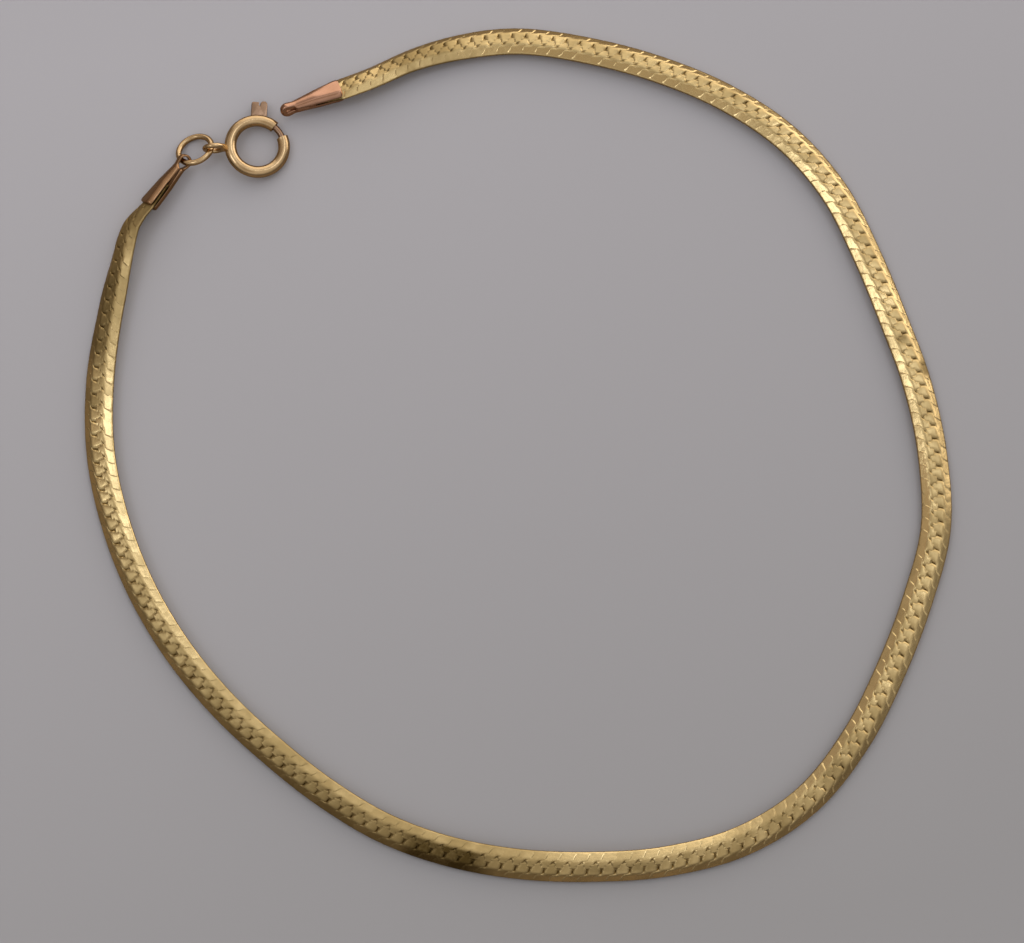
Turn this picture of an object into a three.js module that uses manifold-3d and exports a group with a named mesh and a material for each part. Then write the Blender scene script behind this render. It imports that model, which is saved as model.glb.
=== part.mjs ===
// Snake chain bracelet, unfastened and lying open in a loop: a flat bevelled chain, a folded tag on
// each end of it, and a jump ring that carries a spring ring with its bolt and thumb lever.
// Millimetres, +Z up. The origin is on the surface, under the middle of the whole.
import * as THREE from "three";
import Module from "manifold-3d";
import { mergeVertices } from "three/addons/utils/BufferGeometryUtils.js";

const wasm = await Module();
wasm.setup();

// Chain
const CHAIN_WIDTH = 2.25;
const CHAIN_THICKNESS = 0.95;
const CHAIN_FLAT = 0.92; // width of the flat between the two bevels
const CHAIN_EDGE = 0.2; // height of the narrow side between the upper and the lower bevel
const LINK_PITCH = 1.047;
const LINK_NOTCH = 0.12; // how far the edge draws in between two links
const CHAIN_END_WIDTH = 1.2; // the last links are filed slimmer to enter the tags
const CHAIN_END_THICKNESS = 0.62;

// Folded end tags
const TAG_LENGTH = 4.95;
const TAG_WALL = 0.17;
const TAG_MOUTH_WIDTH = 1.85;
const TAG_SHOULDER = 0.45; // length of the full width at the mouth
const TAG_NECK_WIDTH = 0.95; // where the leaves end and the loop begins
const TAG_NECK_HEIGHT = 0.88;
const TAG_LOOP_LENGTH = 1.3;
const TAG_LOOP_WIDTH = 0.55;
const TAG_LOOP_OUTER = 1.14; // outer height of the fold that the jump ring passes through
const TAG_LOOP_CORNER = 0.16; // length of the slope from the neck's width to the loop's
const TAG_GRIP = 2.1; // length of chain between the leaves
const TAG_CLEARANCE = 0.06;
const TAG_STRAIGHT = 0.8; // length of chain that stays in line with a tag outside its mouth
const CHAIN_EASE = 6; // length over which the chain comes down from the tag to the surface

// Jump ring
const JUMP_OUTER = 3.1;
const JUMP_WIRE = 0.45;
const JUMP_RISE_ALONG = -0.2; // slope of its plane along the tag
const JUMP_RISE_ACROSS = -0.52; // slope of its plane across the tag, outward
const JUMP_PLAY = 0.2; // gap between its wire and the inside of the fold

// Spring ring
const RING_OUTER = 5.0;
const RING_TUBE = 0.9;
const RING_WALL = 0.15;
const RING_BEARING = 5; // degrees from +X, from the eye to the middle of the ring
const EYE_OUTER = 1.82;
const EYE_WIRE = 0.4;
const EYE_SOLDER = 0.12; // how far the eye sinks into the tube
const EYE_BEARING = -58; // degrees round the jump ring, from the tag's direction to the eye
const EYE_PLAY = 0.24; // how far the jump ring's wire lies outside the middle of the eye
const GATE_FROM = 17; // degrees round the ring from the side opposite the eye
const GATE_TO = 46;
const BOLT_CLEARANCE = 0.06;
const BOLT_OVERLAP = 6; // degrees of bolt inside the far mouth of the tube
const BOLT_SPAN = 126; // degrees of bolt wire
const LEVER_ANGLE = 83;
const LEVER_TRAVEL = 35;
const LEVER_WIDTH = 1.22;
const LEVER_REACH = 1.06;
const LEVER_THICKNESS = 0.6;
const LEVER_GROOVE = 0.1;
const LEVER_STEM_WIDTH = 0.5;
const LEVER_STEM_HEIGHT = 0.3;
const LEVER_CLEARANCE = 0.06;

// Places of the chain's middle line, from the free tag's mouth clockwise to the clasp tag's mouth,
// chosen by hand. The first two and the last two also give the tags their direction.
const ROUTE = [
  [-13.63, 28.41], [-11.35, 29.3], [-8.0, 30.9], [-4.0, 32.0], [0.2, 32.4], [5.7, 31.6], [11.0, 30.1],
  [16.0, 27.9], [20.6, 24.7], [24.2, 20.4], [26.6, 15.4], [28.5, 10.4], [30.2, 5.3], [31.2, -0.1],
  [31.3, -5.7], [29.8, -11.1], [27.7, -16.3], [25.0, -21.4], [21.3, -25.9], [16.5, -28.9], [10.9, -30.4],
  [5.5, -30.8], [0.1, -30.6], [-5.0, -29.7], [-9.8, -28.0], [-14.2, -25.4], [-18.2, -22.3],
  [-21.9, -18.9], [-25.2, -15.0], [-28.0, -10.5], [-30.1, -5.5], [-31.4, -0.1], [-31.6, 5.6],
  [-30.9, 11.2], [-30.2, 14.7], [-29.45, 17.6], [-28.23, 19.17],
];

// Roll of the chain along the route: share of its length, degrees by which the outer edge is lowered
const ROLL = [
  { share: 0.0, roll: 30 }, { share: 0.02, roll: 30 }, { share: 0.07, roll: 12 },
  { share: 0.2, roll: 8 }, { share: 0.34, roll: 8 }, { share: 0.38, roll: 0 },
  { share: 0.44, roll: 0 }, { share: 0.52, roll: 12 }, { share: 0.6, roll: 18 },
  { share: 0.75, roll: 18 }, { share: 0.85, roll: 14 }, { share: 0.92, roll: 16 },
  { share: 0.955, roll: 27 }, { share: 0.98, roll: 42 }, { share: 1.0, roll: 56 },
];

const UP = new THREE.Vector3(0, 0, 1);
const FULL_TURN = 360;
const RINGS_PER_LINK = 2;
const CURVE_SAMPLES = 4000;
const HEIGHT_STATIONS = 180; // places along the chain where its height is worked out
const TUBE_STEP = 7.5; // degrees between two sections of a bent tube or wire
const TUBE_SIDES = 12;
const BORE_SIDES = 10;
const WIRE_SIDES = 8;

const radians = (degrees) => THREE.MathUtils.degToRad(degrees);

// A closed body through rings of points that all turn the same way, with a flat end on each side
function loft(rings) {
  const count = rings[0].length;
  const positions = rings.flatMap((ring) => ring.flatMap((point) => point.toArray()));
  const faces = [];
  const at = (ring, corner) => ring * count + (corner % count);
  for (let ring = 0; ring + 1 < rings.length; ring += 1) {
    for (let corner = 0; corner < count; corner += 1) {
      faces.push(at(ring, corner), at(ring, corner + 1), at(ring + 1, corner));
      faces.push(at(ring, corner + 1), at(ring + 1, corner + 1), at(ring + 1, corner));
    }
  }
  const last = rings.length - 1;
  for (let corner = 1; corner + 1 < count; corner += 1) {
    faces.push(at(0, 0), at(0, corner + 1), at(0, corner));
    faces.push(at(last, 0), at(last, corner), at(last, corner + 1));
  }
  const geometry = new THREE.BufferGeometry();
  geometry.setAttribute("position", new THREE.Float32BufferAttribute(positions, 3));
  geometry.setIndex(faces);
  return geometry;
}

// Solids for joining and cutting
function toSolid(geometry) {
  const bare = geometry.clone();
  bare.deleteAttribute("normal");
  bare.deleteAttribute("uv");
  const merged = mergeVertices(bare, 1e-5);
  return new wasm.Manifold(new wasm.Mesh({
    numProp: 3,
    vertProperties: new Float32Array(merged.attributes.position.array),
    triVerts: new Uint32Array(merged.index.array),
  }));
}

function toGeometry(solid) {
  const mesh = solid.getMesh();
  const geometry = new THREE.BufferGeometry();
  geometry.setAttribute("position", new THREE.Float32BufferAttribute(mesh.vertProperties, 3));
  geometry.setIndex(Array.from(mesh.triVerts));
  return geometry;
}

// A round wire or bore bent round +Z, between two angles in degrees
function bentWire(meanRadius, wireRadius, from, to, sides) {
  const steps = Math.max(2, Math.round((to - from) / TUBE_STEP));
  const rings = [];
  for (let step = 0; step <= steps; step += 1) {
    const angle = radians(from + ((to - from) * step) / steps);
    const outward = new THREE.Vector3(Math.cos(angle), Math.sin(angle), 0);
    const ring = [];
    for (let side = 0; side < sides; side += 1) {
      const turn = (2 * Math.PI * (side + 0.5)) / sides;
      ring.push(outward.clone().multiplyScalar(meanRadius + wireRadius * Math.sin(turn))
        .addScaledVector(UP, wireRadius * Math.cos(turn)));
    }
    rings.push(ring);
  }
  return loft(rings);
}

function rollAt(share) {
  const next = Math.max(1, ROLL.findIndex((row) => row.share >= share));
  const { share: start, roll: first } = ROLL[next - 1];
  const { share: end, roll: second } = ROLL[next];
  return first + (second - first) * THREE.MathUtils.smoothstep(share, start, end);
}

// Height of a section's middle above the surface when its lowest corner just touches it
function restHeight(corners, roll) {
  const lower = Math.sin(radians(roll));
  const level = Math.cos(radians(roll));
  return Math.max(...corners.map(([across, up]) => across * lower - up * level));
}

// Frame of a piece that runs along a direction and is rolled about it, outer edge down
function rolledFrame(along, roll) {
  const tangent = along.clone().normalize();
  const outward = UP.clone().cross(tangent).normalize();
  const upward = tangent.clone().cross(outward);
  const across = outward.clone().multiplyScalar(Math.cos(radians(roll)))
    .addScaledVector(upward, -Math.sin(radians(roll)));
  const face = tangent.clone().cross(across);
  return { tangent, across, face };
}

// Section of the chain, counter-clockwise from its outer side, with its bevels in proportion
function chainSection(width, thickness, notch) {
  const side = width / 2 - notch;
  const edge = (CHAIN_EDGE / CHAIN_THICKNESS) * (thickness / 2);
  const flat = (CHAIN_FLAT / CHAIN_WIDTH) * (width / 2);
  return [
    [side, -edge], [side, edge], [flat, thickness / 2], [-flat, thickness / 2],
    [-side, edge], [-side, -edge], [-flat, -thickness / 2], [flat, -thickness / 2],
  ];
}

const TAG_MOUTH_HALF = CHAIN_END_THICKNESS / 2 + TAG_CLEARANCE + TAG_WALL;
const TAG_MOUTH_CORNERS = [[TAG_MOUTH_WIDTH / 2, -TAG_MOUTH_HALF]];

const JUMP_MEAN = (JUMP_OUTER - JUMP_WIRE) / 2;
const RING_MEAN = (RING_OUTER - RING_TUBE) / 2;
const EYE_MEAN = (EYE_OUTER - EYE_WIRE) / 2;
const EYE_DISTANCE = RING_OUTER / 2 + EYE_OUTER / 2 - EYE_SOLDER;
const LINK_REACH = TAG_LENGTH - TAG_WALL - JUMP_WIRE / 2 - JUMP_PLAY;

// Places of the two tags: level at the free end, leading down to the jump ring at the clasp
const routePoint = ([x, y], height) => new THREE.Vector3(x, y, height);
const FREE_ROLL = ROLL[0].roll;
const CLASP_ROLL = ROLL[ROLL.length - 1].roll;
const freeHeight = restHeight(TAG_MOUTH_CORNERS, FREE_ROLL);
const shoulderHeight = restHeight(TAG_MOUTH_CORNERS, CLASP_ROLL);
const freeMouth = routePoint(ROUTE[0], freeHeight);
const freeDirection = freeMouth.clone().sub(routePoint(ROUTE[1], freeHeight)).normalize();
const [beforeClasp, atClasp] = ROUTE.slice(-2).map((point) => routePoint(point, 0));
const claspLevel = atClasp.clone().sub(beforeClasp).normalize();

// Plane of the jump ring, from its slopes along and across the clasp tag
const claspOutward = UP.clone().cross(claspLevel);
const jumpNormal = UP.clone().addScaledVector(claspLevel, -JUMP_RISE_ALONG)
  .addScaledVector(claspOutward, -JUMP_RISE_ACROSS).normalize();
const jumpAlong = claspLevel.clone().addScaledVector(UP, JUMP_RISE_ALONG).normalize();
const jumpAcross = jumpNormal.clone().cross(jumpAlong);
const jumpHeight = JUMP_MEAN * Math.sin(Math.acos(jumpNormal.z)) + JUMP_WIRE / 2;

// The clasp tag rests on its shoulder and leans to hold the wire where the tilted jump ring passes
const linkHeight = jumpHeight - JUMP_MEAN * jumpAlong.z;
const claspLean = Math.asin((linkHeight - shoulderHeight) / (LINK_REACH - TAG_SHOULDER));
const claspHeight = shoulderHeight - TAG_SHOULDER * Math.sin(claspLean);
const claspMouth = routePoint(ROUTE[ROUTE.length - 1], claspHeight);
const claspDirection = claspLevel.clone().multiplyScalar(Math.cos(claspLean))
  .addScaledVector(UP, Math.sin(claspLean));
const linkPoint = claspMouth.clone().addScaledVector(claspDirection, LINK_REACH);
const jumpMiddle = linkPoint.clone().addScaledVector(jumpAlong, JUMP_MEAN);

// The spring ring hangs on the jump ring by its eye and rests on its far side
const eyeOnWire = jumpMiddle.clone()
  .addScaledVector(jumpAlong, JUMP_MEAN * Math.cos(radians(EYE_BEARING)))
  .addScaledVector(jumpAcross, JUMP_MEAN * Math.sin(radians(EYE_BEARING)));
const ringBearing = radians(RING_BEARING);
const ringLevel = new THREE.Vector3(Math.cos(ringBearing), Math.sin(ringBearing), 0);
const ringLean = Math.asin((eyeOnWire.z - RING_TUBE / 2) / (EYE_DISTANCE + EYE_PLAY + RING_MEAN));
const ringAlong = ringLevel.clone().multiplyScalar(Math.cos(ringLean))
  .addScaledVector(UP, -Math.sin(ringLean));
const ringMiddle = eyeOnWire.clone().addScaledVector(ringAlong, EYE_DISTANCE + EYE_PLAY);

// Middle line of the chain: straight between the leaves of both tags, and low enough between them
// for each rolled section to touch the surface
function chainCurve() {
  const inFree = freeMouth.clone().addScaledVector(freeDirection, TAG_GRIP);
  const inClasp = claspMouth.clone().addScaledVector(claspDirection, TAG_GRIP);
  const plan = new THREE.CatmullRomCurve3(
    [inFree, ...ROUTE.map((point) => routePoint(point, 0)), inClasp].map((point) => point.setZ(0)));
  plan.arcLengthDivisions = CURVE_SAMPLES;
  const length = plan.getLength();
  const open = length - 2 * TAG_GRIP;
  const corners = chainSection(CHAIN_WIDTH, CHAIN_THICKNESS, 0);
  const points = [];
  for (let station = 0; station <= HEIGHT_STATIONS; station += 1) {
    const share = station / HEIGHT_STATIONS;
    const fromFree = share * length - TAG_GRIP;
    const fromClasp = open - fromFree;
    const rest = restHeight(corners, rollAt(THREE.MathUtils.clamp(fromFree / open, 0, 1)));
    const eased = (reach) => (
      THREE.MathUtils.smoothstep(reach, TAG_STRAIGHT, TAG_STRAIGHT + CHAIN_EASE));
    const freeLine = THREE.MathUtils.lerp(freeHeight, rest, eased(fromFree));
    const claspLine = claspHeight - fromClasp * Math.tan(claspLean);
    const height = THREE.MathUtils.lerp(claspLine, freeLine, eased(fromClasp));
    points.push(plan.getPointAt(share).setZ(height));
  }
  const curve = new THREE.CatmullRomCurve3(points);
  curve.arcLengthDivisions = CURVE_SAMPLES;
  return curve;
}

// The whole chain as one band: one lobe a link along both edges, slimmer between the tags' leaves
function chainGeometry() {
  const curve = chainCurve();
  const length = curve.getLength();
  const links = Math.round(length / LINK_PITCH);
  const open = length - 2 * TAG_GRIP;
  const rings = [];
  for (let index = 0; index <= links * RINGS_PER_LINK; index += 1) {
    const share = index / (links * RINGS_PER_LINK);
    const reach = share * length;
    const fromEnd = Math.min(reach, length - reach);
    const narrow = THREE.MathUtils.clamp(1 - fromEnd / TAG_GRIP, 0, 1);
    const width = THREE.MathUtils.lerp(CHAIN_WIDTH, CHAIN_END_WIDTH, narrow);
    const slim = THREE.MathUtils.clamp(2 - fromEnd / TAG_GRIP, 0, 1);
    const thickness = THREE.MathUtils.lerp(CHAIN_THICKNESS, CHAIN_END_THICKNESS, slim);
    const notch = index % RINGS_PER_LINK === 0 ? LINK_NOTCH : 0;
    const roll = rollAt(THREE.MathUtils.clamp((reach - TAG_GRIP) / open, 0, 1));
    const { across, face } = rolledFrame(curve.getTangentAt(share), roll);
    const middle = curve.getPointAt(share);
    rings.push(chainSection(width, thickness, notch).map(([side, up]) => (
      middle.clone().addScaledVector(across, side).addScaledVector(face, up))));
  }
  return loft(rings);
}

// Folded tag: a strip bent double, seen from the side, cut to its tapered outline, seen from above.
// It runs along +X from its mouth at 0, and its width is along Y. Behind the grip its leaves draw in
// to a neck, and a narrower loop follows.
function tagGeometry() {
  const fold = TAG_LOOP_OUTER / 2;
  const bend = TAG_LENGTH - fold;
  const neck = TAG_LENGTH - TAG_LOOP_LENGTH;
  const neckHalf = TAG_NECK_HEIGHT / 2;
  const side = new THREE.Shape();
  side.moveTo(0, -TAG_MOUTH_HALF);
  side.lineTo(TAG_GRIP, -TAG_MOUTH_HALF);
  side.lineTo(neck, -neckHalf);
  side.lineTo(bend, -fold);
  side.absarc(bend, 0, fold, -Math.PI / 2, Math.PI / 2, false);
  side.lineTo(neck, neckHalf);
  side.lineTo(TAG_GRIP, TAG_MOUTH_HALF);
  side.lineTo(0, TAG_MOUTH_HALF);
  side.lineTo(0, TAG_MOUTH_HALF - TAG_WALL);
  side.lineTo(TAG_GRIP, TAG_MOUTH_HALF - TAG_WALL);
  side.lineTo(neck, neckHalf - TAG_WALL);
  side.lineTo(bend, fold - TAG_WALL);
  side.absarc(bend, 0, fold - TAG_WALL, Math.PI / 2, -Math.PI / 2, true);
  side.lineTo(neck, -neckHalf + TAG_WALL);
  side.lineTo(TAG_GRIP, -TAG_MOUTH_HALF + TAG_WALL);
  side.lineTo(0, -TAG_MOUTH_HALF + TAG_WALL);
  const strip = new THREE.ExtrudeGeometry(side, {
    depth: TAG_MOUTH_WIDTH, bevelEnabled: false, curveSegments: 10,
  });
  strip.rotateX(Math.PI / 2);
  strip.translate(0, TAG_MOUTH_WIDTH / 2, 0);

  const wide = TAG_MOUTH_WIDTH / 2;
  const corner = Math.min(TAG_SHOULDER, TAG_WALL);
  const edge = [
    [0, wide - corner], [corner, wide], [TAG_SHOULDER, wide], [neck, TAG_NECK_WIDTH / 2],
    [neck + TAG_LOOP_CORNER, TAG_LOOP_WIDTH / 2], [TAG_LENGTH + TAG_WALL, TAG_LOOP_WIDTH / 2],
  ];
  const mirrored = edge.map(([along, across]) => [along, -across]).reverse();
  const outline = new THREE.Shape([...edge, ...mirrored].map((point) => new THREE.Vector2(...point)));
  const height = 2 * Math.max(fold, TAG_MOUTH_HALF) + TAG_WALL;
  const plan = new THREE.ExtrudeGeometry(outline, { depth: height, bevelEnabled: false });
  plan.translate(0, 0, -height / 2);
  return toGeometry(toSolid(strip).intersect(toSolid(plan)));
}

// Hollow spring ring round +Z with its gate, the slot that the lever runs in, and the soldered eye,
// which stands upright on the -X side
function ringGeometry() {
  const gateEnd = FULL_TURN + GATE_FROM;
  const tube = toSolid(bentWire(RING_MEAN, RING_TUBE / 2, GATE_TO, gateEnd, TUBE_SIDES));
  const boreRadius = RING_TUBE / 2 - RING_WALL;
  const bore = toSolid(
    bentWire(RING_MEAN, boreRadius, GATE_TO - TUBE_STEP, gateEnd + TUBE_STEP, BORE_SIDES));
  const eye = new THREE.TorusGeometry(EYE_MEAN, EYE_WIRE / 2, WIRE_SIDES, 2 * TUBE_SIDES);
  eye.rotateX(Math.PI / 2);
  eye.translate(-EYE_DISTANCE, 0, 0);
  const edge = THREE.MathUtils.radToDeg((LEVER_STEM_WIDTH / 2 + LEVER_CLEARANCE) / RING_MEAN);
  const slotHeight = LEVER_STEM_HEIGHT + 2 * LEVER_CLEARANCE;
  const slot = toSolid(slotGeometry(LEVER_ANGLE - edge, LEVER_ANGLE + LEVER_TRAVEL + edge, slotHeight));
  return toGeometry(tube.add(toSolid(eye)).subtract(bore).subtract(slot));
}

// A curved block from the middle of the bore to past the outside of the tube
function slotGeometry(from, to, height) {
  const steps = Math.max(2, Math.round((to - from) / TUBE_STEP));
  const outer = RING_OUTER / 2 + RING_WALL;
  const half = height / 2;
  const corners = [[half, RING_MEAN], [half, outer], [-half, outer], [-half, RING_MEAN]];
  const rings = [];
  for (let step = 0; step <= steps; step += 1) {
    const angle = radians(from + ((to - from) * step) / steps);
    const outward = new THREE.Vector3(Math.cos(angle), Math.sin(angle), 0);
    rings.push(corners.map(([up, reach]) => (
      outward.clone().multiplyScalar(reach).addScaledVector(UP, up))));
  }
  return loft(rings);
}

// Bolt wire with its stem and two-lobed thumb lever, in the ring's own frame
function boltGeometry() {
  const wireRadius = RING_TUBE / 2 - RING_WALL - BOLT_CLEARANCE;
  const tip = GATE_FROM - BOLT_OVERLAP;
  const wire = toSolid(bentWire(RING_MEAN, wireRadius, tip, tip + BOLT_SPAN, WIRE_SIDES));

  const base = RING_OUTER / 2 + LEVER_CLEARANCE;
  const top = RING_OUTER / 2 + LEVER_REACH;
  const half = LEVER_WIDTH / 2;
  const lobe = (half - LEVER_GROOVE / 2) / 2;
  const pad = new THREE.Shape();
  pad.moveTo(-half, base);
  pad.lineTo(half, base);
  pad.lineTo(half, top - lobe);
  pad.absarc(half - lobe, top - lobe, lobe, 0, Math.PI, false);
  pad.lineTo(LEVER_GROOVE / 2, (base + top) / 2);
  pad.lineTo(-LEVER_GROOVE / 2, (base + top) / 2);
  pad.lineTo(-LEVER_GROOVE / 2, top - LEVER_GROOVE);
  pad.lineTo(-half + LEVER_GROOVE, top - LEVER_GROOVE);
  pad.lineTo(-half, top - 2 * LEVER_GROOVE);
  const thumb = new THREE.ExtrudeGeometry(pad, {
    depth: LEVER_THICKNESS, bevelEnabled: false, curveSegments: 6,
  });
  thumb.translate(0, 0, -LEVER_THICKNESS / 2);
  const stemReach = base + LEVER_GROOVE - RING_MEAN;
  const stem = new THREE.BoxGeometry(LEVER_STEM_WIDTH, stemReach, LEVER_STEM_HEIGHT);
  stem.translate(0, RING_MEAN + stemReach / 2, 0);
  for (const piece of [thumb, stem]) {
    piece.rotateZ(radians(LEVER_ANGLE - 90));
  }
  return toGeometry(wire.add(toSolid(stem)).add(toSolid(thumb)));
}

// Assembly
const gold = { color: 0xcbb274, roughness: 0.3, metalness: 1.0 };
const rosyGold = { color: 0xd0a184, roughness: 0.25, metalness: 1.0 };
const brightGold = { color: 0xd8bd80, roughness: 0.2, metalness: 1.0 };

function piece(name, geometry, finish) {
  const mesh = new THREE.Mesh(geometry, new THREE.MeshStandardMaterial(finish));
  mesh.name = name;
  return mesh;
}

function place(object, middle, along, normal) {
  const basis = new THREE.Matrix4().makeBasis(along, normal.clone().cross(along), normal);
  object.quaternion.setFromRotationMatrix(basis);
  object.position.copy(middle);
  return object;
}

const freeFace = rolledFrame(freeDirection.clone().negate(), FREE_ROLL).face;
const claspFace = rolledFrame(claspDirection, CLASP_ROLL).face;
const ringNormal = ringAlong.clone().cross(UP.clone().cross(ringAlong)).normalize();
const jumpTorus = new THREE.TorusGeometry(JUMP_MEAN, JUMP_WIRE / 2, WIRE_SIDES, 3 * TUBE_SIDES);

const clasp = new THREE.Group();
clasp.add(piece("spring_ring", ringGeometry(), brightGold), piece("bolt_lever", boltGeometry(), brightGold));

const laid = new THREE.Group();
laid.add(
  piece("chain", chainGeometry(), gold),
  place(piece("free_end_tag", tagGeometry(), rosyGold), freeMouth, freeDirection, freeFace),
  place(piece("clasp_end_tag", tagGeometry(), rosyGold), claspMouth, claspDirection, claspFace),
  place(piece("jump_ring", jumpTorus, brightGold), jumpMiddle, jumpAlong, jumpNormal),
  place(clasp, ringMiddle, ringAlong, ringNormal),
);

const bracelet = new THREE.Group();
bracelet.add(laid);
bracelet.updateMatrixWorld(true);
const box = new THREE.Box3().setFromObject(bracelet, true);
const middle = box.getCenter(new THREE.Vector3());
laid.position.set(-middle.x, -middle.y, -box.min.z);
bracelet.updateMatrixWorld(true);

export default bracelet;
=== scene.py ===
"""Snake chain bracelet, unfastened and lying open in a loop on a pale table.

A flat bevelled chain of interlocking links runs from a folded tag at its free end to another one
at its clasp end, where a jump ring carries a spring ring with a sliding bolt and thumb lever.
Sizes in the classes are in millimetres and become metres when a mesh is made.
"""

import logging
import math
from dataclasses import dataclass, field
from enum import Enum

import bpy
import numpy as np
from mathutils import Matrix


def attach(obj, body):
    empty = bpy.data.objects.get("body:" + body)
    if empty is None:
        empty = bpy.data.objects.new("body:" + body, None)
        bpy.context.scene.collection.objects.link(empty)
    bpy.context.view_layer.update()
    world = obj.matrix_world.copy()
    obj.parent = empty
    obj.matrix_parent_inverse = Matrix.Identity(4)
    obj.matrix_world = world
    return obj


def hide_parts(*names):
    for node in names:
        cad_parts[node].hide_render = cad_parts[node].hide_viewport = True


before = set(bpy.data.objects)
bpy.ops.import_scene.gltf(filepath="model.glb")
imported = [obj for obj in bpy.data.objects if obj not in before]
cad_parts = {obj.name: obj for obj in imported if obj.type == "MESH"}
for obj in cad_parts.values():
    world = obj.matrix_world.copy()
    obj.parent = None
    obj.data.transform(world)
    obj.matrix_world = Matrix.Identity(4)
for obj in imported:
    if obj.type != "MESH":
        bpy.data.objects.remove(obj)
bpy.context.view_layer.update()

log = logging.getLogger("bracelet")

Array = np.ndarray
Faces = list[tuple[int, ...]]
Colour = tuple[float, float, float]

MM = 0.001
SOFT_EDGES = 180.0
CUT_EDGES = 40.0
UP = np.array([0.0, 0.0, 1.0])
ROUTE_TO_PART = np.array([0.1037, -0.8081, 0.0042])


class Body(str, Enum):
    """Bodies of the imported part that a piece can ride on."""

    BRACELET = "bracelet"
    BOLT = "bolt"


class Slot(str, Enum):
    """Material slots of the record."""

    CHAIN = "chain_gold"
    TAG = "tag_gold"
    CLASP = "clasp_gold"


class Cut(str, Enum):
    """Ways to combine two closed objects."""

    JOIN = "UNION"
    TAKE = "DIFFERENCE"


# Lines and frames


def unit(vectors: Array) -> Array:
    """Scale one vector, or the one in each row, to length one."""
    return vectors / np.linalg.norm(vectors, axis=-1, keepdims=True)


def smoothstep(value: Array, start: float, end: float) -> Array:
    """Ease the values from 0 at the start to 1 at the end."""
    share = np.clip((value - start) / (end - start), 0.0, 1.0)
    return share * share * (3.0 - 2.0 * share)


def squared_circle(turn: Array, power: float) -> tuple[Array, Array]:
    """Trace a circle whose cosine and sine are raised to a power, which squares or rounds it."""
    across, up = np.cos(turn), np.sin(turn)
    return np.sign(across) * np.abs(across) ** power, np.sign(up) * np.abs(up) ** power


def run_lengths(runs: Array) -> Array:
    """Add up the runs between places into the length at each place."""
    return np.concatenate([[0.0], np.cumsum(runs)])


def rest_height(corners: Array, roll: Array) -> Array:
    """Find how high a rolled section's middle lies when its lowest corner touches the table."""
    turn = np.radians(np.atleast_1d(roll))[:, None]
    return (corners[:, 0] * np.sin(turn) - corners[:, 1] * np.cos(turn)).max(axis=1)


def rolled_frame(along: Array, roll: Array) -> tuple[Array, Array, Array]:
    """Frame of a piece that runs along a direction, rolled about it with its outer edge down.

    Args:
        along: Direction of each place, one a row.
        roll: Roll of each place in degrees.

    Returns:
        The tangents, the directions across towards the outside, and the face normals.
    """
    tangent = unit(np.atleast_2d(along))
    turn = np.radians(np.atleast_1d(roll))[:, None]
    outward = unit(np.cross(UP, tangent))
    upward = np.cross(tangent, outward)
    across = outward * np.cos(turn) - upward * np.sin(turn)
    return tangent, across, np.cross(tangent, across)


@dataclass
class Line:
    """Smooth line through points, spaced by the square root of their distance."""

    points: Array
    samples: int = 4000
    small: float = 1e-4

    def __post_init__(self) -> None:
        """Measure the line at even steps."""
        self.steps = np.linspace(0.0, 1.0, self.samples + 1)
        runs = np.linalg.norm(np.diff(self.at(self.steps), axis=0), axis=1)
        self.reaches = run_lengths(runs)
        self.length = float(self.reaches[-1])

    def at(self, steps: Array) -> Array:
        """Find places on the line.

        Args:
            steps: Shares of the line's steps, from 0 to 1.

        Returns:
            One place a row.
        """
        known = self.points
        padded = np.vstack([2 * known[0] - known[1], known, 2 * known[-1] - known[-2]])
        spans = len(known) - 1
        place = np.clip(steps, 0.0, 1.0) * spans
        span = np.minimum(place.astype(int), spans - 1)
        share = (place - span)[:, None]
        before, start, end, after = (padded[span + offset] for offset in range(4))
        gaps = [
            np.linalg.norm(second - first, axis=1)[:, None] ** 0.5
            for first, second in ((before, start), (start, end), (end, after))
        ]
        leave = gaps[1] * (
            (start - before) / gaps[0] - (end - before) / (gaps[0] + gaps[1]) + (end - start) / gaps[1]
        )
        arrive = gaps[1] * (
            (end - start) / gaps[1] - (after - start) / (gaps[1] + gaps[2]) + (after - end) / gaps[2]
        )
        square = 3 * (end - start) - 2 * leave - arrive
        cube = 2 * (start - end) + leave + arrive
        return start + share * (leave + share * (square + share * cube))

    def at_reach(self, reach: Array) -> Array:
        """Find the places at lengths from the line's start."""
        return self.at(np.interp(reach, self.reaches, self.steps))

    def direction_at_reach(self, reach: Array) -> Array:
        """Find the directions, at length one, at lengths from the line's start."""
        step = np.interp(reach, self.reaches, self.steps)
        return unit(self.at(step + self.small) - self.at(step - self.small))


@dataclass
class Place:
    """Frame that a piece is built in: its middle and its three axes."""

    middle: Array
    along: Array
    normal: Array

    def to_part(self, points: Array) -> Array:
        """Carry points, along, across and up of the piece's own frame, into the part's."""
        axes = np.vstack([self.along, np.cross(self.normal, self.along), self.normal])
        return points @ axes + self.middle + ROUTE_TO_PART


# Meshes


def signed_volume(points: Array, faces: Faces) -> float:
    """Measure the volume inside closed faces, negative where they face inward.

    Args:
        points: Corners, one a row.
        faces: Corner numbers of each face.

    Returns:
        The signed volume.
    """
    total = 0.0
    by_count: dict[int, Faces] = {}
    for face in faces:
        by_count.setdefault(len(face), []).append(face)
    for count, group in by_count.items():
        corners = points[np.array(group)]
        for second in range(1, count - 1):
            crossed = np.cross(corners[:, second], corners[:, second + 1])
            total += float((corners[:, 0] * crossed).sum()) / 6.0
    return total


def linked(name: str, data: bpy.types.ID) -> bpy.types.Object:
    """Make an object of a mesh, lamp or camera and link it to the scene."""
    made = bpy.data.objects.new(name, data)
    bpy.context.scene.collection.objects.link(made)
    return made


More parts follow.
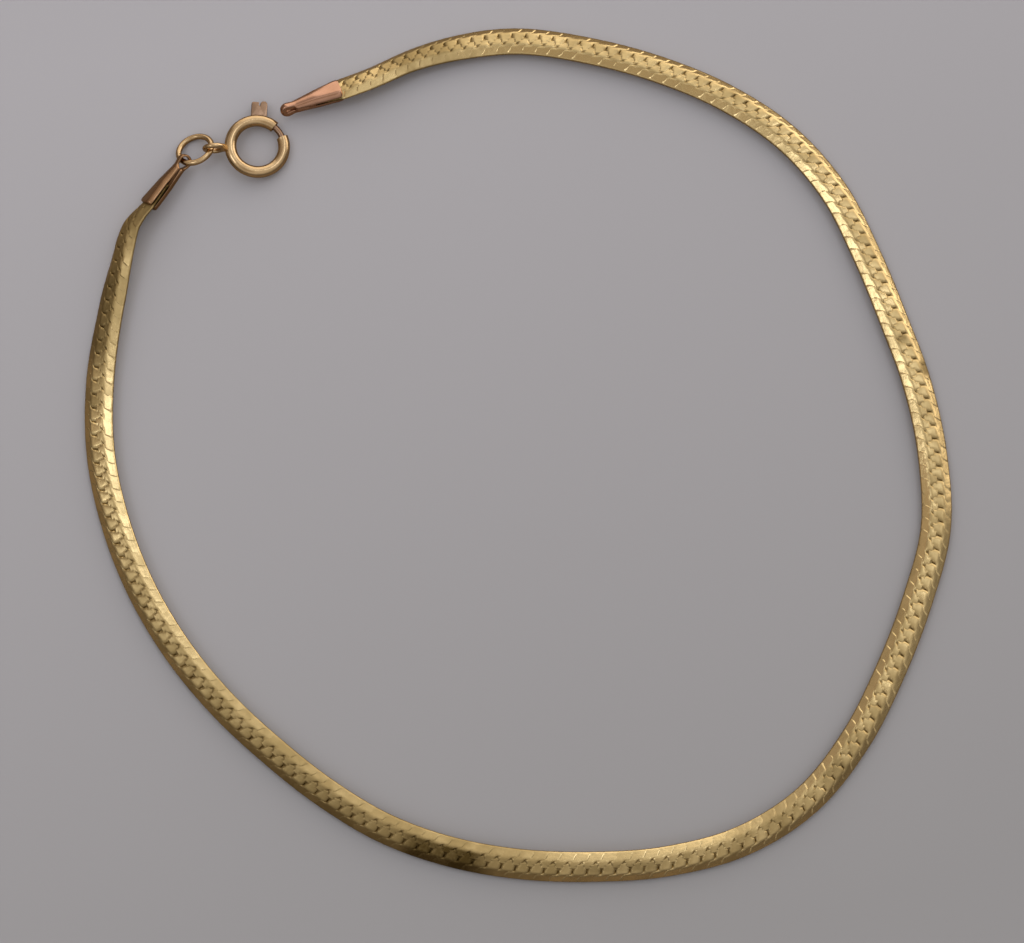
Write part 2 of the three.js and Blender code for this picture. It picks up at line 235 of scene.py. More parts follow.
def shaded(mesh: bpy.types.Mesh, sharp: float) -> None:
    """Shade a mesh smooth, but for the edges above an angle in degrees."""
    mesh.shade_smooth()
    if sharp < SOFT_EDGES:
        mesh.set_sharp_from_angle(angle=math.radians(sharp))


def make_piece(name: str, points: Array, faces: Faces, sharp: float = SOFT_EDGES) -> bpy.types.Object:
    """Make an object from points and closed faces, turned to face outward.

    Args:
        name: Name of the piece.
        points: Points in the part's frame, in millimetres.
        faces: Corner numbers of each face.
        sharp: Angle in degrees above which an edge is kept sharp.

    Returns:
        The object, linked to the scene.
    """
    if signed_volume(points, faces) < 0:
        faces = [face[::-1] for face in faces]
    mesh = bpy.data.meshes.new(name)
    mesh.from_pydata((points * MM).tolist(), [], faces)
    shaded(mesh, sharp)
    return linked(name, mesh)


def sweep_faces(rings: int, sides: int, closed: bool) -> Faces:
    """List the faces of a sweep through rings of points.

    Args:
        rings: Number of rings.
        sides: Number of points in each ring.
        closed: Whether the last ring joins the first, instead of both being capped.

    Returns:
        Corner numbers of each face.
    """
    faces = []
    for ring in range(rings if closed else rings - 1):
        here, ahead = ring * sides, ((ring + 1) % rings) * sides
        for side in range(sides):
            beside = (side + 1) % sides
            faces.append((here + side, here + beside, ahead + beside, ahead + side))
    if not closed:
        last = (rings - 1) * sides
        faces.append(tuple(range(sides))[::-1])
        faces.append(tuple(last + side for side in range(sides)))
    return faces


def applied(made: bpy.types.Object) -> bpy.types.Object:
    """Turn an object's modifiers into its mesh, and give the same object back."""
    seen = made.evaluated_get(bpy.context.evaluated_depsgraph_get())
    old = made.data
    mesh = bpy.data.meshes.new_from_object(seen)
    made.modifiers.clear()
    made.data = mesh
    bpy.data.meshes.remove(old)
    mesh.name = made.name
    return made


def combine(made: bpy.types.Object, other: bpy.types.Object, operation: Cut) -> None:
    """Join another closed object into one, or cut it out of it, and delete the other.

    Args:
        made: The object that is kept.
        other: The object that is joined or cut out.
        operation: Which of the two is done.
    """
    step = made.modifiers.new(operation.value, "BOOLEAN")
    step.operation = operation.value
    step.solver = "EXACT"
    step.object = other
    applied(made)
    mesh = other.data
    bpy.data.objects.remove(other)
    bpy.data.meshes.remove(mesh)
    shaded(made.data, CUT_EDGES)


def rounded(made: bpy.types.Object, width: float, segments: int) -> bpy.types.Object:
    """Round the edges of an object that are sharper than 30 degrees.

    Args:
        made: The object.
        width: Width of the rounding in millimetres.
        segments: Steps in the rounding.

    Returns:
        The same object, with a plain mesh.
    """
    bevel = made.modifiers.new("rounding", "BEVEL")
    bevel.width = width * MM
    bevel.segments = segments
    bevel.limit_method = "ANGLE"
    bevel.angle_limit = math.radians(30.0)
    return applied(made)


def hand_over(
    made: bpy.types.Object, body: Body, replaces: str, material: bpy.types.Material
) -> None:
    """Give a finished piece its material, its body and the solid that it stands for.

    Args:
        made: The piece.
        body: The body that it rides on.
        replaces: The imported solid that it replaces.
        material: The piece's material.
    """
    made.data.materials.clear()
    made.data.materials.append(material)
    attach(made, body.value)
    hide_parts(replaces)
    log.info("%s: %d faces, rides on %s", made.name, len(made.data.polygons), body.value)


# Materials


class NodeSheet:
    """Node tree with short ways to add and join nodes."""

    def __init__(self, tree: bpy.types.NodeTree) -> None:
        """Take the tree that the nodes go into."""
        self.tree = tree

    def add(self, kind: str, settings: dict | None = None, **inputs: object) -> bpy.types.Node:
        """Add a node.

        Args:
            kind: Type name of the node, without its leading ShaderNode.
            settings: Properties of the node.
            **inputs: Values or sockets for inputs, by name with underscores for spaces, or by
                number after a leading letter i.

        Returns:
            The new node.
        """
        node = self.tree.nodes.new("ShaderNode" + kind)
        for name, value in (settings or {}).items():
            setattr(node, name, value)
        for name, value in inputs.items():
            numbered = name[0] == "i" and name[1:].isdigit()
            self.feed(node.inputs[int(name[1:]) if numbered else name.replace("_", " ")], value)
        return node

    def feed(self, socket: bpy.types.NodeSocket, value: object) -> None:
        """Give an input socket the output of another node, a number, a vector or a plain colour.

        Args:
            socket: The input.
            value: What it gets. A colour of three numbers is made opaque.
        """
        if isinstance(value, bpy.types.NodeSocket):
            self.tree.links.new(value, socket)
        elif socket.type == "RGBA":
            socket.default_value = (*value, 1.0)
        else:
            socket.default_value = value

    def math(self, operation: str, *values: object, clamp: bool = False) -> bpy.types.NodeSocket:
        """Add a math node on numbers or sockets, held between 0 and 1 where it says clamp."""
        inputs = {f"i{number}": value for number, value in enumerate(values)}
        return self.add("Math", {"operation": operation, "use_clamp": clamp}, **inputs).outputs[0]

    def mix(self, factor: object, first: object, second: object) -> bpy.types.NodeSocket:
        """Mix a share of the second colour or socket into the first."""
        return self.add("Mix", {"data_type": "RGBA"}, i0=factor, i6=first, i7=second).outputs[2]

    def noise(self, vector: object, scale: float, detail: float, rough: float = 0.5) -> bpy.types.NodeSocket:
        """Add noise with its number of features in each unit, and its octaves and their strength."""
        return self.add("TexNoise", Vector=vector, Scale=scale, Detail=detail, Roughness=rough).outputs["Fac"]

    def dot(self, vector: object, axis: tuple[float, ...]) -> bpy.types.NodeSocket:
        """Measure how far a vector's socket reaches along an axis."""
        return self.add("VectorMath", {"operation": "DOT_PRODUCT"}, i0=vector, i1=axis).outputs["Value"]

    def eased(self, value: object, start: float, end: float) -> bpy.types.NodeSocket:
        """Ease a value's socket from 0 at the start to 1 at the end."""
        smooth = {"interpolation_type": "SMOOTHSTEP"}
        return self.add("MapRange", smooth, Value=value, From_Min=start, From_Max=end).outputs[0]


def new_group(
    name: str, takes: dict[str, str], gives: dict[str, str]
) -> tuple[NodeSheet, bpy.types.Node, bpy.types.Node]:
    """Start a shader node group.

    Args:
        name: Name of the group.
        takes: Socket type of each input, by name.
        gives: Socket type of each output, by name.

    Returns:
        The group's sheet, its input node and its output node.
    """
    tree = bpy.data.node_groups.new(name, "ShaderNodeTree")
    for sockets, direction in ((takes, "INPUT"), (gives, "OUTPUT")):
        for label, kind in sockets.items():
            tree.interface.new_socket(name=label, in_out=direction, socket_type=f"NodeSocket{kind}")
    return NodeSheet(tree), tree.nodes.new("NodeGroupInput"), tree.nodes.new("NodeGroupOutput")


def tarnish_and_shade_group() -> bpy.types.NodeTree:
    """Build the group that ages polished gold and paints shade on it.

    It mixes clean, dull and dark colours by two masks that the material gives, broken up by blotches and
    specks, and puts out the colour and the roughness. Both masks hold painted shade as well as wear and
    grime.

    Returns:
        The node group.
    """
    sheet, given, result = new_group(
        "aged_and_shaded_gold",
        {
            "Vector": "Vector", "Clean": "Color", "Dull": "Color", "Dark": "Color",
            "Dullness": "Float", "Grime": "Float", "Polish": "Float", "Haze": "Float",
        },
        {"Color": "Color", "Roughness": "Float"},
    )
    vector = given.outputs["Vector"]
    blotches = sheet.math("SUBTRACT", sheet.noise(vector, 0.55, 4.0, 0.6), 0.5)
    specks = sheet.math("SUBTRACT", sheet.noise(vector, 5.0, 3.0, 0.7), 0.5)
    dull = sheet.math("MULTIPLY_ADD", blotches, 1.5, given.outputs["Dullness"], clamp=True)
    grain = sheet.math("MULTIPLY", specks, 0.7)
    given_grime_and_shade = given.outputs["Grime"]
    grime = sheet.math("MULTIPLY_ADD", grain, given_grime_and_shade, given_grime_and_shade, clamp=True)
    aged_and_shaded = sheet.mix(dull, given.outputs["Clean"], given.outputs["Dull"])
    colour = sheet.mix(grime, aged_and_shaded, given.outputs["Dark"])
    spread = sheet.math("ADD", dull, grime, clamp=True)
    rough = sheet.math("MULTIPLY_ADD", spread, given.outputs["Haze"], given.outputs["Polish"])
    sheet.feed(result.inputs["Color"], colour)
    sheet.feed(result.inputs["Roughness"], sheet.math("MULTIPLY_ADD", grain, 0.12, rough))
    return sheet.tree


def marks_group() -> bpy.types.NodeTree:
    """Build the group that gives the height of fine file marks, dents and rubbed places.

    Returns:
        The node group.
    """
    sheet, given, result = new_group(
        "file_marks",
        {"Vector": "Vector", "Stretch": "Vector", "Marks": "Float", "Dents": "Float"},
        {"Height": "Float"},
    )
    vector = given.outputs["Vector"]
    stretched = sheet.add("VectorMath", {"operation": "MULTIPLY"}, i0=vector, i1=given.outputs["Stretch"])
    marks = sheet.noise(stretched.outputs[0], 1.0, 3.0, 0.6)
    dents = sheet.noise(vector, 2.4, 2.0, 0.5)
    dented = sheet.math("MULTIPLY", dents, given.outputs["Dents"])
    sheet.feed(result.inputs["Height"], sheet.math("MULTIPLY_ADD", marks, given.outputs["Marks"], dented))
    return sheet.tree


@dataclass(frozen=True)
class GoldFinish:
    """Polished gold, aged by wear and darkened by painted shade: its colours, gloss and surface marks.

    Where it goes by band, its dullness and grime, each with painted shade mixed in, and the place of each
    mark come from the mesh.
    """

    name: str
    clean: Colour
    dull: Colour
    dark: Colour = (0.10, 0.05, 0.02)
    polish: float = 0.17
    haze: float = 0.14
    dullness: float = 0.25
    stretch: tuple[float, float, float] = (3.0, 3.0, 3.0)
    marks: float = 0.5
    dents: float = 0.8
    bump: float = 0.35
    bump_height: float = 0.03
    by_band: bool = False

    def build(self) -> bpy.types.Material:
        """Make the material, with its colour, roughness and normal from nodes.

        Returns:
            The material.
        """
        material = bpy.data.materials.new(self.name)
        material.use_nodes = True
        sheet = NodeSheet(material.node_tree)
        shader = material.node_tree.nodes["Principled BSDF"]
        shader.inputs["Metallic"].default_value = 1.0
        if self.by_band:
            vector = sheet.add("Attribute", {"attribute_name": "band"}).outputs["Vector"]
            dullness = sheet.add("Attribute", {"attribute_name": "tarnish"}).outputs["Fac"]
            # the chain's "depth" attribute holds its painted shade and grime
            grime = sheet.add("Attribute", {"attribute_name": "depth"}).outputs["Fac"]
        else:
            spot = sheet.add("TexCoord").outputs["Object"]
            vector = sheet.add("VectorMath", {"operation": "SCALE"}, i0=spot, Scale=1.0 / MM).outputs[0]
            dullness = self.dullness
            grime = 0.0
        aged_and_shaded, filed = ({"node_tree": bpy.data.node_groups[name]} for name in ("aged_and_shaded_gold", "file_marks"))
        tone = sheet.add(
            "Group", aged_and_shaded, Vector=vector, Clean=self.clean, Dull=self.dull, Dark=self.dark,
            Dullness=dullness, Grime=grime, Polish=self.polish, Haze=self.haze,
        )
        marks = sheet.add(
            "Group", filed, Vector=vector, Stretch=self.stretch, Marks=self.marks, Dents=self.dents
        )
        relief = sheet.add(
            "Bump", Strength=self.bump, Distance=self.bump_height * MM, Height=marks.outputs["Height"]
        )
        sheet.feed(shader.inputs["Base Color"], tone.outputs["Color"])
        sheet.feed(shader.inputs["Roughness"], tone.outputs["Roughness"])
        sheet.feed(shader.inputs["Normal"], relief.outputs["Normal"])
        return material


CHAIN_GOLD = GoldFinish(
    "worn_chain_gold",
    clean=(0.85, 0.66, 0.33),
    dull=(0.46, 0.345, 0.155),
    dark=(0.12, 0.08, 0.025),
    polish=0.19,
    haze=0.24,
    stretch=(1.6, 9.0, 9.0),
    marks=0.35,
    dents=1.0,
    bump=0.5,
    by_band=True,
)
TAG_GOLD = GoldFinish("polished_rose_gold", clean=(0.62, 0.36, 0.25), dull=(0.5, 0.28, 0.17))
# painted shade: a darker, duller copy of the tag gold for the clasp tag, which stands on edge away from the
# light
SHADED_TAG_GOLD = GoldFinish(
    "rose_gold_painted_shade", clean=(0.5, 0.3, 0.17), dull=(0.3, 0.17, 0.08), dullness=0.6
)
# painted shade: a darker gold for the bolt and lever, so that their flat top looks less lit than the rings
SHADED_LEVER_GOLD = GoldFinish("lever_gold_painted_shade", clean=(0.45, 0.3, 0.2), dull=(0.24, 0.145, 0.09), dullness=0.4)
CLASP_GOLD = GoldFinish(
    "polished_clasp_gold",
    clean=(0.82, 0.6, 0.34),
    dull=(0.4, 0.27, 0.14),
    polish=0.15,
    haze=0.16,
    dullness=0.35,
    marks=0.4,
    dents=0.9,
)


# Where the pieces lie


@dataclass
class TagSizes:
    """Sizes of a folded end tag."""

    length: float = 4.95
    wall: float = 0.17
    mouth_width: float = 1.85
    mouth_half: float = 0.54
    shoulder: float = 0.45
    neck_width: float = 0.95
    neck_height: float = 0.88
    loop_length: float = 1.3
    loop_width: float = 0.55
    loop_outer: float = 1.14
    loop_corner: float = 0.16
    grip: float = 2.1


@dataclass
class JumpSizes:
    """Sizes of the jump ring, and how it lies."""

    outer: float = 3.1
    wire: float = 0.45
    rise_along: float = -0.2
    rise_across: float = -0.52
    play: float = 0.2

    @property
    def mean(self) -> float:
        """Radius of the middle of its wire."""
        return (self.outer - self.wire) / 2


@dataclass
class RingSizes:
    """Sizes of the spring ring with its eye, gate and bolt."""

    outer: float = 5.0
    tube: float = 0.9
    wall: float = 0.15
    bearing: float = 5.0
    eye_outer: float = 1.82
    eye_wire: float = 0.4
    eye_solder: float = 0.12
    eye_bearing: float = -58.0
    eye_play: float = 0.24
    gate_from: float = 17.0
    gate_to: float = 46.0

    @property
    def mean(self) -> float:
        """Radius of the middle of its tube."""
        return (self.outer - self.tube) / 2

    @property
    def eye_distance(self) -> float:
        """From the middle of the ring to the middle of the eye."""
        return self.outer / 2 + self.eye_outer / 2 - self.eye_solder


@dataclass
class ChainSizes:
    """Outer sizes of the chain, and how it narrows to enter the tags."""

    width: float = 2.25
    thickness: float = 0.95
    flat: float = 0.92
    edge: float = 0.2
    pitch: float = 1.047
    end_width: float = 1.2
    end_thickness: float = 0.62

    def corners(self) -> Array:
        """List the corners of a full section, across and up."""
        side, up = self.width / 2, self.thickness / 2
        flat, edge = self.flat / 2, self.edge / 2
        quarter = [(side, edge), (flat, up)]
        return np.array([(a * x, b * y) for x, y in quarter for a in (1, -1) for b in (1, -1)])


@dataclass
class Layout:
    """Where the pieces lie on the table, in the frame that the route is given in."""

    chain: ChainSizes = field(default_factory=ChainSizes)
    tag: TagSizes = field(default_factory=TagSizes)
    jump: JumpSizes = field(default_factory=JumpSizes)
    ring: RingSizes = field(default_factory=RingSizes)
    straight: float = 0.8
    ease: float = 6.0
    stations: int = 180
    # Places of the chain's middle line, clockwise from the free tag's mouth to the clasp tag's
    route: tuple[tuple[float, float], ...] = (
        (-13.63, 28.41), (-11.35, 29.3), (-8.0, 30.9), (-4.0, 32.0), (0.2, 32.4), (5.7, 31.6),
        (11.0, 30.1), (16.0, 27.9), (20.6, 24.7), (24.2, 20.4), (26.6, 15.4), (28.5, 10.4),
        (30.2, 5.3), (31.2, -0.1), (31.3, -5.7), (29.8, -11.1), (27.7, -16.3), (25.0, -21.4),
        (21.3, -25.9), (16.5, -28.9), (10.9, -30.4), (5.5, -30.8), (0.1, -30.6), (-5.0, -29.7),
        (-9.8, -28.0), (-14.2, -25.4), (-18.2, -22.3), (-21.9, -18.9), (-25.2, -15.0),
        (-28.0, -10.5), (-30.1, -5.5), (-31.4, -0.1), (-31.6, 5.6), (-30.9, 11.2), (-30.2, 14.7),
        (-29.45, 17.6), (-28.23, 19.17),
    )
    # Share of the chain's length, and degrees by which its outer edge is lowered there
    rolls: tuple[tuple[float, float], ...] = (
        (0.0, 30.0), (0.02, 30.0), (0.07, 12.0), (0.2, 8.0), (0.34, 8.0), (0.38, 0.0), (0.44, 0.0),
        (0.52, 12.0), (0.6, 18.0), (0.75, 18.0), (0.85, 14.0), (0.92, 16.0), (0.955, 27.0),
        (0.98, 42.0), (1.0, 56.0),
    )

    def __post_init__(self) -> None:
        """Work out the places of the tags, the rings and the chain's middle line."""
        tag = self.tag
        self.mouth = np.array([(tag.mouth_width / 2, -tag.mouth_half)])
        self.link_reach = tag.length - tag.wall - self.jump.wire / 2 - self.jump.play
        self.lay_free_tag()
        self.lay_clasp_tag()
        self.lay_rings()
        self.line = self.middle_line()
        self.links = round(self.line.length / self.chain.pitch)
        self.open = self.line.length - 2 * tag.grip

    def lay_free_tag(self) -> None:
        """Lay the free tag level, with the lower corner of its mouth on the table."""
        roll = self.rolls[0][1]
        self.free_height = float(rest_height(self.mouth, roll)[0])
        middle = self.point(0, self.free_height)
        along = unit(middle - self.point(1, self.free_height))
        self.free_place = Place(middle, along, rolled_frame(-along, roll)[2][0])

    def lay_clasp_tag(self) -> None:
        """Lean the clasp tag on its shoulder, up to the tilted jump ring that lies on the table."""
        tag, jump, roll = self.tag, self.jump, self.rolls[-1][1]
        level = unit(self.point(-1, 0.0) - self.point(-2, 0.0))
        self.jump_normal = unit(UP - jump.rise_along * level - jump.rise_across * np.cross(UP, level))
        self.jump_along = unit(level + jump.rise_along * UP)
        jump_height = jump.mean * math.sin(math.acos(self.jump_normal[2])) + jump.wire / 2
        link_height = jump_height - jump.mean * self.jump_along[2]
        shoulder_height = float(rest_height(self.mouth, roll)[0])
        self.lean = math.asin((link_height - shoulder_height) / (self.link_reach - tag.shoulder))
        self.clasp_height = shoulder_height - tag.shoulder * math.sin(self.lean)
        along = level * math.cos(self.lean) + UP * math.sin(self.lean)
        self.clasp_place = Place(self.point(-1, self.clasp_height), along, rolled_frame(along, roll)[2][0])

    def lay_rings(self) -> None:
        """Hang the jump ring in the clasp tag's loop, and the spring ring's eye on the jump ring."""
        jump, ring, clasp = self.jump, self.ring, self.clasp_place
        middle = clasp.middle + clasp.along * self.link_reach + self.jump_along * jump.mean
        self.jump_place = Place(middle, self.jump_along, self.jump_normal)
        turn = math.radians(ring.eye_bearing)
        across = np.cross(self.jump_normal, self.jump_along)
        wire = middle + jump.mean * (self.jump_along * math.cos(turn) + across * math.sin(turn))
        distance = ring.eye_distance + ring.eye_play
        bearing = math.radians(ring.bearing)
        level = np.array([math.cos(bearing), math.sin(bearing), 0.0])
        lean = math.asin((wire[2] - ring.tube / 2) / (distance + ring.mean))
        along = level * math.cos(lean) - UP * math.sin(lean)
        normal = unit(np.cross(along, np.cross(UP, along)))
        self.ring_place = Place(wire + along * distance, along, normal)

    def point(self, number: int, height: float) -> Array:
        """Lift a place of the route to a height."""
        return np.array([*self.route[number], height])

    def roll_at(self, share: Array) -> Array:
        """Find the roll in degrees at shares of the open chain's length.

        Args:
            share: Shares from 0 to 1.

        Returns:
            Rolls in degrees.
        """
        shares, values = np.array(self.rolls).T
        after = np.clip(np.searchsorted(shares, share), 1, len(shares) - 1)
        start, end = shares[after - 1], shares[after]
        eased = smoothstep(np.asarray(share), start, end)
        return values[after - 1] + (values[after] - values[after - 1]) * eased

    def middle_line(self) -> Line:
        """Trace the chain's middle line from inside one tag to inside the other.

        Returns:
            The line, straight in the tags and as low between them as each section lies.
        """
        grip = self.tag.grip
        inside_free = self.free_place.middle + self.free_place.along * grip
        inside_clasp = self.clasp_place.middle + self.clasp_place.along * grip
        flat = np.array([inside_free[:2], *self.route, inside_clasp[:2]])
        plan = Line(np.hstack([flat, np.zeros((len(flat), 1))]))
        share = np.linspace(0.0, 1.0, self.stations + 1)
        open_length = plan.length - 2 * grip
        from_free = share * plan.length - grip
        from_clasp = open_length - from_free
        roll = self.roll_at(np.clip(from_free / open_length, 0.0, 1.0))
        rest = rest_height(self.chain.corners(), roll)
        low, high = self.straight, self.straight + self.ease
        leaving = smoothstep(from_free, low, high)
        arriving = smoothstep(from_clasp, low, high)
        height = self.free_height + (rest - self.free_height) * leaving
        slope = self.clasp_height - from_clasp * math.tan(self.lean)
        points = plan.at_reach(share * plan.length)
        points[:, 2] = slope + (height - slope) * arriving
        return Line(points)

    def section_at(self, reach: Array) -> tuple[Array, Array]:
        """Find the chain's width and thickness along it.

        Args:
            reach: Lengths from the chain's first end.

        Returns:
            The widths and the thicknesses.
        """
        sizes, grip = self.chain, self.tag.grip
        from_end = np.minimum(reach, self.line.length - reach)
        narrow = np.clip(1 - from_end / grip, 0.0, 1.0)
        slim = np.clip(2 - from_end / grip, 0.0, 1.0)
        width = sizes.width + (sizes.end_width - sizes.width) * narrow
        thickness = sizes.thickness + (sizes.end_thickness - sizes.thickness) * slim
        return width, thickness


# Pieces


@dataclass
class Chain:
    """Flat chain of interlocking links, pressed close and filed to a flat face between two bevels.

    Each link is a loop of wire. Seen from above, its front half shows on the inner side and its back
    half on the outer side, and between the two it dives through the links ahead and behind. Where
    it dives, a small pit stays open in the middle of the face.
    """

    layout: Layout
    half_length: float = 0.785
    half_width: float = 0.82
    roundness: float = 2.3
    crossing: float = -0.12
    side_half: float = 0.32
    end_half: float = 0.53
    crossing_half: float = 0.36
    section_power: float = 7.0
    crown: float = 0.02
    # The wire's points are closer where it dives, by this share at most and this far from the crossing
    crowding: float = 1.4
    crowded: float = 0.3
    # Height that is filed off, height to which the wire dives, and share of the dive that is the pit
    over: float = 0.025
    dive_to: float = -0.03
    pit: float = 0.2
    # Unevenness of the links: in millimetres, radians, millimetres, dullness and slope
    spacing: float = 0.01
    yaw: float = 0.02
    rise: float = 0.006
    shade: float = 0.1
    tilt: float = 0.009
    segments: int = 54
    sides: int = 17
    seed: int = 7
    # How much duller and darker the flat is than the bevels, partly wear and partly painted shade, and how
    # soft the stains' edges are
    flat_dullness_and_shade: float = 0.45
    stain_edge: float = 0.15
    # Length from the free tag's mouth, and how dull the gold is there: partly wear, partly painted shade on
    # stretches that lie in darker light
    dull_and_shaded_places: tuple[tuple[float, float], ...] = (
        (0.0, 0.0), (3.5, 0.2), (5.0, 0.6), (9.0, 0.6), (12.0, 0.1), (35.0, 0.05), (56.0, 0.05),
        (60.0, 0.1), (75.0, 0.15), (86.0, 0.2), (92.0, 0.3), (104.0, 0.1), (110.0, 0.1), (114.0, 0.6),
        (117.0, 0.95), (122.0, 1.0), (126.0, 0.9), (136.0, 0.85), (142.0, 0.6), (150.0, 0.35),
        (158.0, 0.05), (168.0, 0.1), (172.0, 0.5), (182.0, 0.8),
    )
    # Length and place across where each dark stain starts and ends, and how dark it is
    stains: tuple[tuple[float, float, float, float, float], ...] = (
        (4.5, 8.5, -1.2, 0.3, 0.2), (54.6, 55.2, -0.4, 0.3, 0.6), (57.0, 58.2, 0.5, 1.2, 0.75),
        (88.6, 90.6, -0.6, 0.8, 0.3), (104.0, 111.0, -0.25, 0.35, 0.35), (117.6, 123.6, -0.5, 1.2, 0.92),
        (122.0, 134.0, -0.5, 1.2, 0.22), (168.5, 176.0, -0.45, 1.2, 0.4),
    )

    def outline(self) -> tuple[Array, Array]:
        """Trace the middle of a link's wire, seen from above, closer where it dives.

        Returns:
            Along and across of each place on the wire.
        """
        along, across = squared_circle(np.linspace(0.0, 2 * math.pi, 8001), 2.0 / self.roundness)
        along, across = self.half_length * along, self.half_width * across
        middle = (across[1:] + across[:-1]) / 2
        run = np.hypot(np.diff(along), np.diff(across))
        crowd = self.crowding * np.exp(-(((middle - self.crossing) / self.crowded) ** 2))
        reach = run_lengths(run * (1 + crowd))
        wanted = np.linspace(0.0, reach[-1], self.segments, endpoint=False)
        return np.interp(wanted, reach, along), np.interp(wanted, reach, across)

    def section(self) -> tuple[Array, Array]:
        """Trace the wire's section, a rounded rectangle, at even steps.

        Returns:
            Sideways and up of each corner, from -1 to 1.
        """
        beside, level = squared_circle(np.linspace(0.0, 2 * math.pi, 4001), 2.0 / self.section_power)
        reach = run_lengths(np.hypot(np.diff(beside), np.diff(level)))
        wanted = (np.arange(self.sides) + 0.5) * reach[-1] / self.sides
        return np.interp(wanted, reach, beside), np.interp(wanted, reach, level)

    def link(self) -> tuple[Array, Array]:
        """Shape one link about its own middle.

        Returns:
            Along, across and up of each point in rings round the wire, and how far the crown of its
            filed faces lies lower there.
        """
        along, across = self.outline()
        run_along = np.roll(along, -1) - np.roll(along, 1)
        run_across = np.roll(across, -1) - np.roll(across, 1)
        run = np.hypot(run_along, run_across)
        steep = np.abs(run_across) / run
        front = along > 0
        past = np.where(front, 1.0, -1.0) * (across - self.crossing)
        away = smoothstep(np.abs(along), 0.3, 0.6)
        below, above = (
            away * (self.pit * smoothstep(side, 0.12, 0.2) + (1 - self.pit) * smoothstep(side, 0.3, 0.6))
            for side in (past, -past)
        )
        full = self.layout.chain.thickness / 2 + self.over
        top = full + (self.dive_to - full) * below
        bottom = -full - (self.dive_to - full) * above
        half = self.side_half + (self.end_half - self.side_half) * steep**0.7
        off = np.abs(across - self.crossing)
        open_out = np.where(front, smoothstep(off, 0.03, 0.14), smoothstep(off, 0.04, 0.19))
        half = self.crossing_half + (half - self.crossing_half) * open_out
        beside, level = self.section()
        points = np.stack(
            [
                along[:, None] + (run_across / run * half)[:, None] * beside,
                across[:, None] - (run_along / run * half)[:, None] * beside,
                ((top + bottom) / 2)[:, None] + ((top - bottom) / 2)[:, None] * level,
            ],
            axis=2,
        )
        drop = self.crown * np.abs(beside) ** 2.2 * np.clip(half / 0.4, 0.0, 2.0)[:, None]
        return points.reshape(-1, 3), drop.ravel()

    def filed(self, across: Array, up: Array, width: Array, thickness: Array) -> tuple[Array, Array, Array]:
        """Press points back to the filed faces of the section.

        Args:
            across: Place of each point across the chain.
            up: Place of each point above the chain's middle.
            width: Width of the chain at each point.
            thickness: Thickness of the chain at each point.

        Returns:
            The new places across and up, and how deep each point lies under the filed faces.
        """
        sizes = self.layout.chain
        side, top = width / 2, thickness / 2
        flat = sizes.flat / sizes.width * side
        edge = sizes.edge / sizes.thickness * top
        lean = np.hypot(top - edge, side - flat)
        to_side, to_top = (top - edge) / lean, (side - flat) / lean
        offset = side * to_side + edge * to_top
        far, high = np.abs(across), np.abs(up)
        over = np.maximum(far * to_side + high * to_top - offset, 0.0)
        far, high = far - over * to_side, high - over * to_top
        far, high = np.minimum(far, side), np.minimum(high, top)
        depth = np.minimum(offset - (far * to_side + high * to_top), top - high)
        return np.sign(across) * far, np.sign(up) * high, depth

    def build(self, material: bpy.types.Material) -> list[bpy.types.Object]:
        """Make the whole chain as two joined pieces of links.

        Args:
            material: The chain's gold.

        Returns:
            The pieces.
        """
        layout, sizes = self.layout, self.layout.chain
        line = layout.line
        draw = np.random.default_rng(self.seed)
        shape, drop = self.link()
        middles = (np.arange(layout.links) + 0.5) * line.length / layout.links
        middles = middles + draw.normal(0.0, self.spacing, layout.links)
        yaw, rise, shade, lean_along, lean_across = (
            draw.normal(0.0, spread, (layout.links, 1))
            for spread in (self.yaw, self.rise, self.shade, self.tilt, self.tilt)
        )
        along = shape[None, :, 0] * np.cos(yaw) - shape[None, :, 1] * np.sin(yaw)
        across = shape[None, :, 0] * np.sin(yaw) + shape[None, :, 1] * np.cos(yaw)
        up = shape[None, :, 2] + rise
        reach = np.clip(middles[:, None] + along, 0.0, line.length)
        width, thickness = layout.section_at(reach)
        across = across * width / sizes.width
        up = up * thickness / sizes.thickness
        across, up, depth = self.filed(across, up, width, thickness)
        lowered = drop[None] + np.abs(lean_along * along) + np.abs(lean_across * across)
        lowered = lowered * np.clip(np.abs(up) / 0.2, 0.0, 1.0)
        up = np.sign(up) * np.maximum(np.abs(up) - lowered, 0.0)
        depth = depth + lowered

        roll = layout.roll_at(np.clip((reach.ravel() - layout.tag.grip) / layout.open, 0.0, 1.0))
        place = line.at_reach(reach.ravel())
        _, outward, face = rolled_frame(line.direction_at_reach(reach.ravel()), roll)
        points = place + outward * across.ravel()[:, None] + face * up.ravel()[:, None] + ROUTE_TO_PART

        out = reach - layout.tag.grip
        flatness = smoothstep(np.abs(up) / thickness, 0.38, 0.47)
        # dullness with painted shade: wear along the chain and per link, plus painted shade on the flats and
        # along darker stretches
        dull = np.interp(out, *np.array(self.dull_and_shaded_places).T) + shade + self.flat_dullness_and_shade * flatness
        from_end = np.minimum(reach, line.length - reach)
        grime = self.grime(out, across, depth, layout.tag.grip - from_end, 1 + shade)
        band = np.stack([reach.ravel(), across.ravel(), up.ravel()], axis=1)
        count = shape.shape[0]
        faces_of_link = np.array(sweep_faces(self.segments, self.sides, closed=True))
        made = []
        for name, first, last in (
            ("chain_first_half", 0, layout.links // 2),
            ("chain_second_half", layout.links // 2, layout.links),
        ):
            rows = slice(first * count, last * count)
            faces = (faces_of_link[None] + (np.arange(last - first) * count)[:, None, None]).reshape(-1, 4)
            half = make_piece(name, points[rows], [tuple(face) for face in faces.tolist()])
